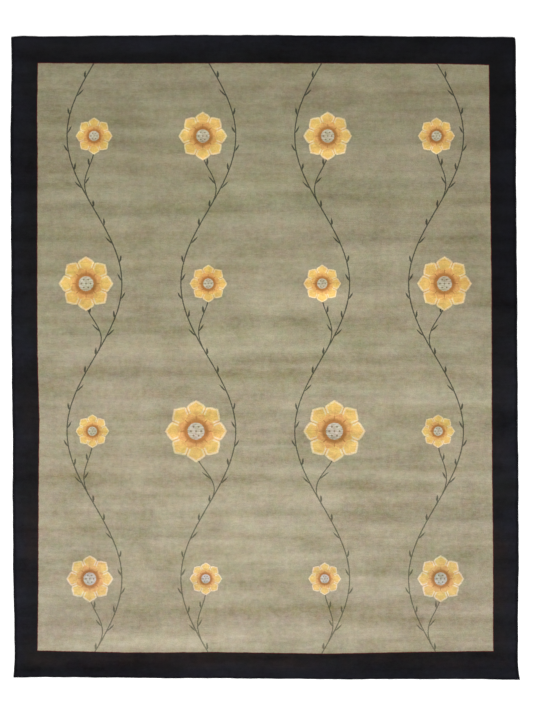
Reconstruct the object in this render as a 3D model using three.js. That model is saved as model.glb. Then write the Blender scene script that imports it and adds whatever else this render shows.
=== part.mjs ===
// A Tibetan rug: one hand-knotted wool cloth, woven in one piece, that lies flat on the floor.
// Knots of wool stand on a firm ground of warps and wefts, and are shorn to a level pile.
// Along the long sides the outermost warps are bunched and wrapped in yarn, as a round selvedge.
// At both ends the flat web past the last knots is turned under and sewn down as a hem.
// Millimetres, +Z up, +Y towards the far end. The origin is on the floor, under the middle of the rug.
import * as THREE from "three";
import { mergeGeometries, mergeVertices } from "three/addons/utils/BufferGeometryUtils.js";

// Driving sizes of the cloth.
const WIDTH = 2400;
const LENGTH = 3050;
const THICKNESS = 12;

// How round each corner is in plan. Washing and shearing leave the far ones rounder.
const CORNER_RADIUS = { nearLeft: 3, nearRight: 2.5, farLeft: 7.5, farRight: 16 };

// A dark border runs all round, and a line of one or two knots parts it from the field.
const BORDER_WIDTH = 124;
const LINE_WIDTH = 5;

// The selvedge is round. The rim, where top and underside meet all round the cloth, is as high as its middle.
const SELVEDGE_THICKNESS = 7;
const RIM_HEIGHT = SELVEDGE_THICKNESS / 2;

// Between the selvedge and the first knots runs a narrow groove of bare web.
const WEB_THICKNESS = 4.5;
const GROOVE_WIDTH = 1;
const PILE_START = SELVEDGE_THICKNESS + GROOVE_WIDTH;

// The pile is round-shouldered at its edge.
const SHOULDER_WIDTH = 10;

// The turned web lifts each end by its own thickness. Past its seam the cloth comes down to the floor.
const HEM_WIDTH = 30;
const HEM_THICKNESS = 1.8;
const HEM_SEAM = 1;
const HEM_FALL = 26;

// How far each edge strays outwards from the plain rectangle, as hand weaving and washing leave it.
// Along a long side the places run from the near end, and along an end they run from the left side.
const LEFT_EDGE = [
  { along: 0, out: -6 },
  { along: 60, out: -11 },
  { along: 180, out: -12 },
  { along: 370, out: -7 },
  { along: 560, out: -4.5 },
  { along: 850, out: -2.5 },
  { along: 1130, out: -3 },
  { along: 1510, out: 2.5 },
  { along: 2080, out: 5 },
  { along: 2650, out: 7.5 },
  { along: 2980, out: 2.5 },
  { along: 3050, out: 6 },
];
const RIGHT_EDGE = [
  { along: 0, out: 11 },
  { along: 25, out: 6 },
  { along: 60, out: 1.5 },
  { along: 180, out: 0.5 },
  { along: 560, out: 4 },
  { along: 940, out: 3 },
  { along: 1320, out: -0.5 },
  { along: 1985, out: -4 },
  { along: 2270, out: -7.5 },
  { along: 2840, out: -8 },
  { along: 3050, out: -11 },
];
const NEAR_EDGE = [
  { along: 0, out: -5.5 },
  { along: 275, out: -7 },
  { along: 560, out: -3.5 },
  { along: 940, out: -1.5 },
  { along: 1230, out: 0 },
  { along: 1420, out: 2.5 },
  { along: 1700, out: 3 },
  { along: 2080, out: 2 },
  { along: 2400, out: 5.5 },
];
const FAR_EDGE = [
  { along: 0, out: -4 },
  { along: 60, out: -0.5 },
  { along: 180, out: -2.5 },
  { along: 370, out: 0 },
  { along: 850, out: 4 },
  { along: 1040, out: 4.5 },
  { along: 1510, out: 2 },
  { along: 1990, out: -2.5 },
  { along: 2400, out: -5 },
];

// The straying of an edge as a smooth function of the place along it.
function edgeCurve(edge) {
  const places = Float32Array.from(edge, (row) => row.along);
  const strayings = Float32Array.from(edge, (row) => row.out);
  const curve = new THREE.CubicInterpolant(places, strayings, 1);
  return (along) => curve.evaluate(along)[0];
}

const leftOut = edgeCurve(LEFT_EDGE);
const rightOut = edgeCurve(RIGHT_EDGE);
const nearOut = edgeCurve(NEAR_EDGE);
const farOut = edgeCurve(FAR_EDGE);

// Turns a square corner into a round one. Both distances run inwards, from the side and from the end.
function roundedCorner(fromSide, fromEnd, radius) {
  const x = 1 - fromSide / radius;
  const y = 1 - fromEnd / radius;
  if (x <= 0 || y <= 0) return { fromSide, fromEnd };
  return {
    fromSide: radius * (1 - x * Math.sqrt(1 - (y * y) / 2)),
    fromEnd: radius * (1 - y * Math.sqrt(1 - (x * x) / 2)),
  };
}

// The place in plan of a point of the weave. u runs across from the left side, and v along from the near end.
function placeInPlan(u, v) {
  const onLeft = u < WIDTH / 2;
  const onNear = v < LENGTH / 2;
  const radius = CORNER_RADIUS[(onNear ? "near" : "far") + (onLeft ? "Left" : "Right")];
  const corner = roundedCorner(onLeft ? u : WIDTH - u, onNear ? v : LENGTH - v, radius);
  const across = onLeft ? corner.fromSide : WIDTH - corner.fromSide;
  const along = onNear ? corner.fromEnd : LENGTH - corner.fromEnd;
  return {
    x: THREE.MathUtils.lerp(-leftOut(v), WIDTH + rightOut(v), across / WIDTH),
    y: THREE.MathUtils.lerp(-nearOut(u), LENGTH + farOut(u), along / LENGTH),
  };
}

// A quarter of an ellipse, rising from 0 at the start of the run to 1 at its end.
function quarterRound(distance, run) {
  const left = 1 - THREE.MathUtils.clamp(distance / run, 0, 1);
  return Math.sqrt(1 - left * left);
}

// How far the selvedge's round stands above its own middle.
function selvedgeRound(fromSide) {
  const offMiddle = Math.min(Math.abs(fromSide - RIM_HEIGHT), RIM_HEIGHT);
  return Math.sqrt(RIM_HEIGHT * RIM_HEIGHT - offMiddle * offMiddle);
}

// Top of the cloth by its distance from a long side: the selvedge, the groove, then the pile's shoulder.
function topFromSide(fromSide) {
  const selvedge = RIM_HEIGHT + selvedgeRound(fromSide);
  if (fromSide < RIM_HEIGHT) return selvedge;
  const pile = (THICKNESS - WEB_THICKNESS) * quarterRound(fromSide - PILE_START, SHOULDER_WIDTH);
  return Math.max(selvedge, WEB_THICKNESS + pile);
}

// Top of the cloth by its distance from an end, where the knots go right up to the fold of the web.
function topFromEnd(fromEnd) {
  return RIM_HEIGHT + (THICKNESS - RIM_HEIGHT) * quarterRound(fromEnd, SHOULDER_WIDTH);
}

// Underside by its distance from a side or an end, where it turns up to the rim.
function undersideFromEdge(fromEdge) {
  return RIM_HEIGHT * (1 - quarterRound(fromEdge, RIM_HEIGHT));
}

// How much the hem lifts the cloth above it and behind it.
function liftByHem(fromEnd) {
  return HEM_THICKNESS * (1 - THREE.MathUtils.smoothstep(fromEnd, HEM_WIDTH, HEM_WIDTH + HEM_FALL));
}

function topHeight(fromSide, fromEnd) {
  const level = Math.min(topFromSide(fromSide), topFromEnd(fromEnd));
  const shareOfLift = (level - RIM_HEIGHT) / (THICKNESS - RIM_HEIGHT);
  return level + liftByHem(fromEnd) * shareOfLift;
}

// The underside is flat on the floor but for its rim and the shallow hollow behind each hem.
function undersideHeight(fromSide, fromEnd) {
  const level = Math.max(undersideFromEdge(fromSide), undersideFromEdge(fromEnd));
  const shareOfLift = 1 - level / RIM_HEIGHT;
  const pastSeam = THREE.MathUtils.clamp((fromEnd - HEM_WIDTH) / HEM_SEAM, 0, 1);
  return level + liftByHem(fromEnd) * pastSeam * shareOfLift;
}

// Lines across a round, at equal turns of it.
function roundLines(start, radius, turn, steps) {
  return Array.from({ length: steps + 1 }, (_, i) => start + radius * (1 - Math.cos((turn * i) / steps)));
}

// The grid's lines across a span: those of an edge, even cells in between, and the edge's lines mirrored.
function gridLines(span, edgeLines, cell) {
  const innermost = edgeLines.at(-1);
  const middle = span - 2 * innermost;
  const cells = Math.ceil(middle / cell);
  const between = Array.from({ length: cells - 1 }, (_, i) => innermost + (middle * (i + 1)) / cells);
  return [...edgeLines, ...between, ...edgeLines.map((line) => span - line).reverse()];
}

// Where the edges bend towards the corners, and where the pile's colour changes.
const CORNER_BEND = 60;
const COLOUR_LINES = [BORDER_WIDTH - LINE_WIDTH, BORDER_WIDTH];

const SELVEDGE_STEPS = 6;
const SHOULDER_STEPS = 4;
const FOLD_STEPS = 3;
const WIDEST_CELL = 190;

const columns = gridLines(
  WIDTH,
  [
    ...roundLines(0, RIM_HEIGHT, Math.PI, SELVEDGE_STEPS),
    ...roundLines(PILE_START, SHOULDER_WIDTH, Math.PI / 2, SHOULDER_STEPS),
    CORNER_BEND,
    ...COLOUR_LINES,
  ],
  WIDEST_CELL,
);
const rows = gridLines(
  LENGTH,
  [
    ...roundLines(0, RIM_HEIGHT, Math.PI / 2, FOLD_STEPS),
    (RIM_HEIGHT + SHOULDER_WIDTH) / 2,
    SHOULDER_WIDTH,
    HEM_WIDTH,
    HEM_WIDTH + HEM_SEAM,
    HEM_WIDTH + HEM_FALL / 2,
    CORNER_BEND,
    ...COLOUR_LINES,
  ],
  WIDEST_CELL,
);

// One face of the cloth: a plane with a corner at each crossing of the grid, moved to its place and height.
function clothFace(heightAt, facesDown) {
  const face = new THREE.PlaneGeometry(1, 1, columns.length - 1, rows.length - 1);
  face.deleteAttribute("normal");
  face.deleteAttribute("uv");
  const position = face.getAttribute("position");
  for (let i = 0; i < position.count; i++) {
    const u = columns[i % columns.length];
    const v = rows[rows.length - 1 - Math.floor(i / columns.length)];
    const { x, y } = placeInPlan(u, v);
    position.setXYZ(i, x, y, heightAt(Math.min(u, WIDTH - u), Math.min(v, LENGTH - v)));
  }
  if (facesDown) face.index.array.reverse();
  return face;
}

// The dyes of the wool, and which of them a point of the weave has, by its distance from the nearest edge.
const DYES = { field: 0xa0977d, line: 0x5c1c22, border: 0x1e1d21 };

function dyeAt(x, y) {
  const inside = Math.min(x, WIDTH - x, y, LENGTH - y);
  if (inside > BORDER_WIDTH) return "field";
  return inside > BORDER_WIDTH - LINE_WIDTH ? "line" : "border";
}

// The closed cloth, with its triangles sorted by dye into one group for each material.
function clothGeometry() {
  const faces = [clothFace(topHeight, false), clothFace(undersideHeight, true)];
  const cloth = mergeVertices(mergeGeometries(faces));
  const trianglesOf = Object.fromEntries(Object.keys(DYES).map((dye) => [dye, []]));
  const triangle = new THREE.Triangle();
  const middle = new THREE.Vector3();
  for (let i = 0; i < cloth.index.count; i += 3) {
    const corners = [0, 1, 2].map((k) => cloth.index.getX(i + k));
    triangle.setFromAttributeAndIndices(cloth.getAttribute("position"), ...corners).getMidpoint(middle);
    trianglesOf[dyeAt(middle.x, middle.y)].push(...corners);
  }
  cloth.setIndex(Object.values(trianglesOf).flat());
  let start = 0;
  Object.values(trianglesOf).forEach((corners, material) => {
    cloth.addGroup(start, corners.length, material);
    start += corners.length;
  });
  return cloth;
}

const cloth = clothGeometry();
cloth.computeBoundingBox();
const middle = cloth.boundingBox.getCenter(new THREE.Vector3());
cloth.translate(-middle.x, -middle.y, 0);
cloth.computeVertexNormals();

// Wool is matt in every dye.
const wool = Object.values(DYES).map(
  (color) => new THREE.MeshStandardMaterial({ color, roughness: 0.95, metalness: 0 }),
);

const rug = new THREE.Mesh(cloth, wool);
rug.name = "rug";

const group = new THREE.Group();
group.add(rug);
export default group;
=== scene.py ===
# A hand-knotted Tibetan rug, spread flat on a pale floor and seen from straight above.
# Metres, +Z up, +Y towards the far end, as in the solids.
import math

import bmesh
import bpy
import numpy as np
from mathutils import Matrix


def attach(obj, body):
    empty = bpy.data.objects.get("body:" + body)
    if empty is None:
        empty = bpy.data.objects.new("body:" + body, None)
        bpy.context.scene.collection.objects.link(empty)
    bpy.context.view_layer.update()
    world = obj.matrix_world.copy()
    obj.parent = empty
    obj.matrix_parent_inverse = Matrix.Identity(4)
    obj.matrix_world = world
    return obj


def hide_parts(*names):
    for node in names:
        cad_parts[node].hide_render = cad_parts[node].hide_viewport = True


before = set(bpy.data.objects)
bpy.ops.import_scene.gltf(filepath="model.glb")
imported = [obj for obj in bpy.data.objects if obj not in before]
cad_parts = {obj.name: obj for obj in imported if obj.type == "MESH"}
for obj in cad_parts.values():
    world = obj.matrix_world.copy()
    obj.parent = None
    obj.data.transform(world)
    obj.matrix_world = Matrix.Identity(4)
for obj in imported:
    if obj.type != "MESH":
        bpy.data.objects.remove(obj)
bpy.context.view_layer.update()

# The knotted cloth: wool knots on a ground of warps and wefts, woven in one piece and shorn to a level pile.
# Its pattern is tied in knot by knot, and the petals are carved round with shears. The selvedges along its
# sides and the webs turned under at its ends are parts of the same cloth.
WIDTH = 2.4
LENGTH = 3.05
PILE_TOP = 0.012
RIM = 0.0035
WEB_TOP = 0.0045
PILE_START = 0.008
SHOULDER = 0.010
HEM_WIDTH = 0.030
HEM_THICKNESS = 0.0018
HEM_SEAM = 0.001
HEM_FALL = 0.026
HEM_PUCKER, HEM_DRAW = 0.0009, 0.006

# The outline is the rim of the solid, as a ring of points in order round the cloth.
solid_points = np.array([vertex.co[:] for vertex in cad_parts["rug"].data.vertices])
on_rim = np.abs(solid_points[:, 2] - RIM) < 2e-5
ring = np.unique(np.round(solid_points[on_rim, :2], 6), axis=0)
ring = ring[np.argsort(np.arctan2(ring[:, 1], ring[:, 0]))]


def corner_in_ring(x_way, y_way):
    return int(np.argmax(ring @ np.array([x_way, y_way])))


near_left, near_right = corner_in_ring(-1, -1), corner_in_ring(1, -1)
far_right, far_left = corner_in_ring(1, 1), corner_in_ring(-1, 1)
near_side = ring[near_left:near_right + 1]
right_side = ring[near_right:far_right + 1]
far_side = ring[far_right:far_left + 1][::-1]
left_side = np.vstack([ring[far_left:], ring[:near_left + 1]])[::-1]

WAVER = 0.0006
WAVES = [{"long": 0.41, "high": 1.0}, {"long": 0.173, "high": 0.7}, {"long": 0.067, "high": 0.45}]
NEAR_START, FAR_START, LEFT_START, RIGHT_START = 3.1, 4.3, 1.0, 2.2


def waver(along, start):
    """The small unevenness that the weaver's tension leaves in an edge."""
    return WAVER * sum(wave["high"] * np.sin(2 * math.pi * along / wave["long"] + start * (i + 1.7))
                       for i, wave in enumerate(WAVES))


def on_side(side, axis, share, start):
    """Places on one side of the outline, by their share of the way along it."""
    along = side[0, axis] + share * (side[-1, axis] - side[0, axis])
    across = np.interp(along, side[:, axis], side[:, 1 - axis]) + waver(along, start)
    return np.column_stack([along, across] if axis == 0 else [across, along])


def in_plan(across, along):
    """Where points of the weave lie. Both numbers are measured in the weave, from the near left corner."""
    s, t = across / WIDTH, along / LENGTH
    left, right = on_side(left_side, 1, t, LEFT_START), on_side(right_side, 1, t, RIGHT_START)
    near, far = on_side(near_side, 0, s, NEAR_START), on_side(far_side, 0, s, FAR_START)
    low_left, low_right = on_side(near_side, 0, np.array([0, 1]), NEAR_START)
    high_left, high_right = on_side(far_side, 0, np.array([0, 1]), FAR_START)
    s, t = s[:, None], t[:, None]
    corners = (1 - t) * ((1 - s) * low_left + s * low_right) + t * ((1 - s) * high_left + s * high_right)
    return (1 - s) * left + s * right + (1 - t) * near + t * far - corners


# The section of the cloth from its edge inwards: selvedge, groove and shoulder at a side, and fold at an end.
def quarter_round(distance, run):
    left = 1 - np.clip(distance / run, 0, 1)
    return np.sqrt(1 - left * left)


def hem_lift(from_end):
    share = np.clip((from_end - HEM_WIDTH) / HEM_FALL, 0, 1)
    return HEM_THICKNESS * (1 - share * share * (3 - 2 * share))


def top_height(from_side, from_end):
    off_middle = np.minimum(np.abs(from_side - RIM), RIM)
    selvedge = RIM + np.sqrt(RIM * RIM - off_middle * off_middle)
    pile = WEB_TOP + (PILE_TOP - WEB_TOP) * quarter_round(from_side - PILE_START, SHOULDER)
    by_side = np.where(from_side < RIM, selvedge, np.maximum(selvedge, pile))
    by_end = RIM + (PILE_TOP - RIM) * quarter_round(from_end, SHOULDER)
    level = np.minimum(by_side, by_end)
    return level + hem_lift(from_end) * (level - RIM) / (PILE_TOP - RIM)


def underside_height(from_side, from_end):
    level = RIM * (1 - np.minimum(quarter_round(from_side, RIM), quarter_round(from_end, RIM)))
    past_seam = np.clip((from_end - HEM_WIDTH) / HEM_SEAM, 0, 1)
    drawn_up = HEM_PUCKER * np.clip(1 - (HEM_WIDTH - from_end) / HEM_DRAW, 0, 1) * (1 - past_seam)
    return level + (hem_lift(from_end) * past_seam + drawn_up) * (1 - level / RIM)


# The pattern: four serpentine vines run up the field, each the mirror of the next, and a lotus rosette lies
# in the hollow of each bend. One bend of one vine fills one cell of the pattern.
BEND_WIDTH, BEND_LENGTH = 0.54, 0.70
SWING = 0.13
ROSETTE_GAP = 0.040
BEND_ROWS = [
    {"row": -2, "outer_radius": 0.112, "inner_radius": 0.078},
    {"row": -1, "outer_radius": 0.080, "inner_radius": 0.148},
    {"row": 0, "outer_radius": 0.130, "inner_radius": 0.090},
    {"row": 1, "outer_radius": 0.088, "inner_radius": 0.116},
]


def in_rosette(places):
    """Places as seen from the middle of the rosette in their cell, with how far off they are, both in radii
    of that rosette, and the radius."""
    column = np.clip(np.floor(places[:, 0] / BEND_WIDTH), -2, 1)
    row = np.clip(np.floor(places[:, 1] / BEND_LENGTH), -2, 1)
    outer, inner = (np.array([bend[key] for bend in BEND_ROWS])[(row + 2).astype(int)]
                    for key in ("outer_radius", "inner_radius"))
    radius = np.where((column == -2) | (column == 1), outer, inner)
    way = np.where((column + row) % 2 == 0, 1, -1)
    middle = np.column_stack([(column + 0.5) * BEND_WIDTH + way * (SWING - ROSETTE_GAP - radius),
                              (row + 0.5) * BEND_LENGTH])
    own = (places - middle) / radius[:, None]
    return np.column_stack([own, np.hypot(*own.T)]), radius


PETALS = 8
PETAL_ROUND, PETAL_POINT = 0.80, 0.20
OUTER_NOTCH, OUTER_REACH = 0.79, 0.21
INNER_NOTCH, INNER_REACH = 0.48, 0.15
HEAD_RADIUS = 0.35
PAST_PETALS = 1.15
OUTLINE_LEAN = 0.75
OUT_OF_REACH = 9


def from_carved_lines(own, radius):
    """How far places are from the nearest carved line of a rosette, in metres."""
    away = own[:, 2]
    share = np.abs((np.arctan2(own[:, 1], own[:, 0]) * PETALS / math.pi + 1) % 2 - 1)
    outer = OUTER_NOTCH + OUTER_REACH * (PETAL_ROUND * np.sqrt(1 - share) + PETAL_POINT * (1 - share) ** 4)
    inner = INNER_NOTCH + INNER_REACH * (PETAL_ROUND * np.sqrt(share) + PETAL_POINT * share ** 4)
    seam = away * (1 - share) * math.pi / PETALS + OUT_OF_REACH * ((away < inner) | (away > outer))
    inner_seam = away * share * math.pi / PETALS + OUT_OF_REACH * ((away < HEAD_RADIUS) | (away > inner))
    lines = [OUTLINE_LEAN * np.abs(outer - away), OUTLINE_LEAN * np.abs(inner - away),
             np.abs(away - HEAD_RADIUS), seam, inner_seam]
    return radius * np.min(lines, axis=0)


# The mesh of the cloth: a grid that follows the weave, with its cells halved where the pattern is fine.
CELL = 0.027
SELVEDGE_STEPS, SHOULDER_STEPS, FOLD_STEPS = 8, 6, 4
PAST_SHOULDER = 0.035


def round_lines(start, radius, turn, steps):
    return [start + radius * (1 - math.cos(turn * i / steps)) for i in range(steps + 1)]


def grid_lines(span, edge_lines):
    middle = span - 2 * edge_lines[-1]
    cells = math.ceil(middle / CELL)
    between = [edge_lines[-1] + middle * i / cells for i in range(1, cells)]
    return [*edge_lines, *between, *(span - line for line in reversed(edge_lines))]


columns = grid_lines(WIDTH, [*round_lines(0, RIM, math.pi, SELVEDGE_STEPS),
                             *round_lines(PILE_START, SHOULDER, math.pi / 2, SHOULDER_STEPS), PAST_SHOULDER])
rows = grid_lines(LENGTH, [*round_lines(0, RIM, math.pi / 2, FOLD_STEPS),
                           *round_lines(RIM + 0.001, SHOULDER - RIM - 0.001, math.pi / 2, FOLD_STEPS),
                           HEM_WIDTH - HEM_DRAW, HEM_WIDTH - HEM_DRAW / 2, HEM_WIDTH, HEM_WIDTH + HEM_SEAM,
                           HEM_WIDTH + HEM_FALL / 2, HEM_WIDTH + HEM_FALL])


def woven_grid(finer):
    """The flat grid. Each function in finer tells which cells, by their middles, are halved in that round."""
    grid = bmesh.new()
    crossings = [[grid.verts.new((u, v, 0)) for u in columns] for v in rows]
    for low, high in zip(crossings, crossings[1:]):
        for a, b, c, d in zip(low, low[1:], high[1:], high):
            grid.faces.new((a, b, c, d))
    for is_fine in finer:
        middles = np.array([face.calc_center_median()[:2] for face in grid.faces])
        fine = is_fine(in_plan(middles[:, 0], middles[:, 1]))
        edges = {edge for face, halved in zip(grid.faces, fine) if halved for edge in face.edges}
        bmesh.ops.subdivide_edges(grid, edges=list(edges), cuts=1, use_grid_fill=True)
    grid.verts.index_update()
    places = np.array([vertex.co[:2] for vertex in grid.verts])
    faces = [[vertex.index for vertex in face.verts] for face in grid.faces]
    grid.free()
    return places, faces


def near_carved(reach):
    """Tells which places lie this close to a carved line."""
    def is_near(places):
        own, radius = in_rosette(places)
        return (own[:, 2] < PAST_PETALS) & (from_carved_lines(own, radius) < reach)
    return is_near


top_grid, top_faces = woven_grid([near_carved(0.020), near_carved(0.010), near_carved(0.0055)])
under_grid, under_faces = woven_grid([])

# The pile is shorn a little unevenly, in long low swells, and is cut away along the carved lines.
UNEVEN = 0.00035
SWELLS = [
    {"high": 1.0, "across": 19, "across_bend": 2.1, "by_along": 7,
     "along": 23, "along_bend": 1.7, "by_across": 9, "start": 1},
    {"high": 0.6, "across": 61, "across_bend": 2, "by_along": 31,
     "along": 53, "along_bend": 2, "by_across": 37, "start": 2},
]
CARVED_DEPTH = 0.0018
CARVED_HALF_WIDTH = 0.0038
CARVED_REACH = 1.04

top_plan = in_plan(top_grid[:, 0], top_grid[:, 1])
under_plan = in_plan(under_grid[:, 0], under_grid[:, 1])
plan = np.vstack([top_plan, under_plan])
weave = np.round(np.vstack([top_grid, under_grid]), 6)
from_side = np.minimum(weave[:, 0], WIDTH - weave[:, 0])
from_end = np.minimum(weave[:, 1], LENGTH - weave[:, 1])
is_top = np.arange(len(weave)) < len(top_grid)
own, own_radius = in_rosette(plan)
height = np.where(is_top, top_height(from_side, from_end), underside_height(from_side, from_end))
carved = np.clip(1 - from_carved_lines(own, own_radius) / CARVED_HALF_WIDTH, 0, 1)
carved *= own[:, 2] < CARVED_REACH
x, y = plan.T
swells = 0.0
for swell in SWELLS:
    wave_across = swell["across"] * x + swell["across_bend"] * np.sin(swell["by_along"] * y)
    wave_along = swell["along"] * y + swell["along_bend"] * np.sin(swell["by_across"] * x + swell["start"])
    swells = swells + swell["high"] * np.sin(wave_across) * np.sin(wave_along)
pile_share = np.clip((height - RIM) / (PILE_TOP - RIM), 0, 1) * is_top
height += pile_share * (UNEVEN * swells - CARVED_DEPTH * carved * carved * (3 - 2 * carved))

cloth_mesh = bpy.data.meshes.new("knotted_cloth")
under_start = len(top_grid)
cloth_mesh.from_pydata(np.column_stack([plan, height]).tolist(), [],
                       top_faces + [[under_start + k for k in reversed(face)] for face in under_faces])
under_middles = np.array([np.mean(under_grid[face, 1]) for face in under_faces])
is_hem = np.minimum(under_middles, LENGTH - under_middles) < HEM_WIDTH + HEM_SEAM / 2
cloth_mesh.polygons.foreach_set("material_index", [*([0] * len(top_faces)), *(1 + is_hem)])
cloth_mesh.shade_smooth()

# Where the field ends, in metres from the middle of the rug. Its edge strays, as knots were counted by eye.
FIELD_LEFT = [
    {"along": -1.40, "at": -1.0795}, {"along": -1.13, "at": -1.0765}, {"along": -0.60, "at": -1.0745},
    {"along": -0.29, "at": -1.071}, {"along": 0.02, "at": -1.0795}, {"along": 0.34, "at": -1.081},
    {"along": 0.96, "at": -1.0795}, {"along": 1.17, "at": -1.0815}, {"along": 1.40, "at": -1.0785},
]
FIELD_RIGHT = [
    {"along": -1.40, "at": 1.0805}, {"along": -0.92, "at": 1.080}, {"along": -0.50, "at": 1.0755},
    {"along": 0.34, "at": 1.0725}, {"along": 0.86, "at": 1.066}, {"along": 1.40, "at": 1.060},
]
FIELD_NEAR = [
    {"along": -1.08, "at": -1.390}, {"along": -0.64, "at": -1.3995}, {"along": -0.22, "at": -1.3975},
    {"along": 0.30, "at": -1.405}, {"along": 0.72, "at": -1.3965}, {"along": 1.08, "at": -1.392},
]
FIELD_FAR = [
    {"along": -1.08, "at": 1.395}, {"along": -0.54, "at": 1.393}, {"along": -0.12, "at": 1.3955},
    {"along": 0.82, "at": 1.392}, {"along": 1.08, "at": 1.386},
]


def field_edge(table, along):
    return np.interp(along, [row["along"] for row in table], [row["at"] for row in table])


inside_side = np.minimum(x - field_edge(FIELD_LEFT, y), field_edge(FIELD_RIGHT, y) - x)
inside_end = np.minimum(y - field_edge(FIELD_NEAR, x), field_edge(FIELD_FAR, x) - y)
inside = np.column_stack([inside_side, inside_end, np.minimum(from_side, from_end)])
for name, kind, key, values in (("rosette", "FLOAT_VECTOR", "vector", own),
                                ("rosette_radius", "FLOAT", "value", own_radius),
                                ("inside", "FLOAT_VECTOR", "vector", inside)):
    cloth_mesh.attributes.new(name, kind, "POINT").data.foreach_set(key, np.ravel(values))

# The cloth laid out for texture maps: the top beside a narrow strip for the underside.
TOP_SHARE, MARGIN = 0.80, 0.004
layout = np.column_stack([
    np.where(is_top, MARGIN + (weave[:, 0] / WIDTH) * (TOP_SHARE - 2 * MARGIN),
             TOP_SHARE + MARGIN + (1 - weave[:, 0] / WIDTH) * (1 - TOP_SHARE - 2 * MARGIN)),
    MARGIN + (1 - 2 * MARGIN) * weave[:, 1] / LENGTH])
corner_of = np.zeros(len(cloth_mesh.loops), dtype=np.int32)
cloth_mesh.loops.foreach_get("vertex_index", corner_of)
cloth_mesh.uv_layers.new(name="OFBake").data.foreach_set("uv", layout[corner_of].ravel())

welded = bmesh.new()
welded.from_mesh(cloth_mesh)
bmesh.ops.remove_doubles(welded, verts=[v for v in welded.verts if v.is_boundary], dist=1e-6)
welded.to_mesh(cloth_mesh)
welded.free()
cloth = bpy.data.objects.new("knotted_cloth", cloth_mesh)
bpy.context.scene.collection.objects.link(cloth)

# How strong the light on the rug is, beside light that shows white as white. A wool's own colour is how it
# looks on the rug, shared out by that.
LIT = 1.42


def dye(red, green, blue):
    """A wool's own colour, from how it looks on the rug in numbers up to 255."""
    shown = [c / 255 for c in (red, green, blue)]
    linear = [c / 12.92 if c <= 0.04045 else ((c + 0.055) / 1.055) ** 2.4 for c in shown]
    return (*(min(c / LIT, 0.8) for c in linear), 1)


def fill(inputs, values):
    """Gives inputs their values, in order or by key, as numbers or as links."""
    for key, value in values.items() if isinstance(values, dict) else enumerate(values):
        if isinstance(value, bpy.types.NodeSocket):
            value.id_data.links.new(value, inputs[key])
        else:
            inputs[key].default_value = value


def node(tree, kind, values=(), **settings):
    """A new node's outputs."""
    made = tree.nodes.new(kind)
    for name, setting in settings.items():
        setattr(made, name, setting)
    fill(made.inputs, values)
    return made.outputs


def tree_of(values):
    """The tree of nodes that the links among some values lie in."""
    return next(value.id_data for value in values if isinstance(value, bpy.types.NodeSocket))


def calc(operation, *values):
    return node(tree_of(values), "ShaderNodeMath", values, operation=operation)[0]


def vector_calc(operation, *values):
    return node(tree_of(values), "ShaderNodeVectorMath", values, operation=operation)[0]


def scaled(vector, share):
    return node(vector.id_data, "ShaderNodeVectorMath", {0: vector, "Scale": share}, operation="SCALE")[0]


def parts_of(vector):
    return node(vector.id_data, "ShaderNodeSeparateXYZ", [vector])


def joined(*parts):
    return node(tree_of(parts), "ShaderNodeCombineXYZ", parts)[0]


def mixed(share, first, second):
    return node(share.id_data, "ShaderNodeMix", {0: share, 6: first, 7: second}, data_type="RGBA")[2]


def rises(value, low, high):
    """0 where value is under low and 1 where it is over high, with a soft change between."""
    values = [value, low, high, 0.0, 1.0]
    return node(value.id_data, "ShaderNodeMapRange", values, interpolation_type="SMOOTHSTEP")[0]


def cloudy(place, shift, stretch, detail=2.0, roughness=0.5):
    """Noise from 0 to 1, as a number and as a colour. stretch is how many of its clouds lie in a metre."""
    moved = node(place.id_data, "ShaderNodeMapping", {"Vector": place, "Location": (shift, shift * 1.7, 0),
                                                      "Scale": (*stretch, 1)})[0]
    values = {"Vector": moved, "Scale": 1.0, "Detail": detail, "Roughness": roughness}
    return node(place.id_data, "ShaderNodeTexNoise", values)


def node_group(name, kind, takes, gives):
    """A group of nodes with named sockets: its tree, what goes in, and the node for what comes out."""
    tree = bpy.data.node_groups.new(name, kind + "NodeTree")
    for sockets, way in ((takes, "INPUT"), (gives, "OUTPUT")):
        for socket, holds in sockets.items():
            tree.interface.new_socket(name=socket, in_out=way, socket_type="NodeSocket" + holds)
    return tree, tree.nodes.new("NodeGroupInput").outputs, tree.nodes.new("NodeGroupOutput").inputs


def shader_group(name, takes, gives):
    return node_group(name, "Shader", takes, gives)


def use_group(group, values):
    return node(tree_of(values.values()), "ShaderNodeGroup", values, node_tree=group)


# Knots: each one takes the dye a little differently, stands a little out of line, and ends in a tip of wool
# that is made of many cut hairs. Gap marks the hollows between the tips, where the wool is painted darker as
# shade.
KNOT_WIDTH, ROW_HEIGHT = 0.003, 0.0032
HAIRS_A_METRE, TANGLES_A_METRE = 2200, 700
TIP_DROP = 0.7
RAGGED_GAPS = 1.2
GAP_EDGE = (0.20, 0.72)
knots, given, result = shader_group("knots", {
    "Place": "Vector", "Knot Width": "Float", "Row Height": "Float"}, {
    "Scatter": "Float", "Tint": "Float", "Gap": "Float", "Tip Height": "Float", "Back Height": "Float"})
apart = parts_of(given["Place"])
column = calc("DIVIDE", apart["X"], given["Knot Width"])
row = calc("DIVIDE", apart["Y"], given["Row Height"])
knot = joined(calc("FLOOR", column), calc("FLOOR", row), 0.0)
chance = node(knots, "ShaderNodeTexWhiteNoise", {"Vector": knot}, noise_dimensions="2D")
chances = node(knots, "ShaderNodeSeparateColor", [chance["Color"]])
tuft_place = joined(column, row, 0.0)
tufts = node(knots, "ShaderNodeTexVoronoi", {"Vector": tuft_place, "Scale": 1.0, "Randomness": 0.8},
             voronoi_dimensions="2D")
hairs = cloudy(given["Place"], 3.0, (HAIRS_A_METRE, HAIRS_A_METRE), 2.0, 0.6)["Fac"]
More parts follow.
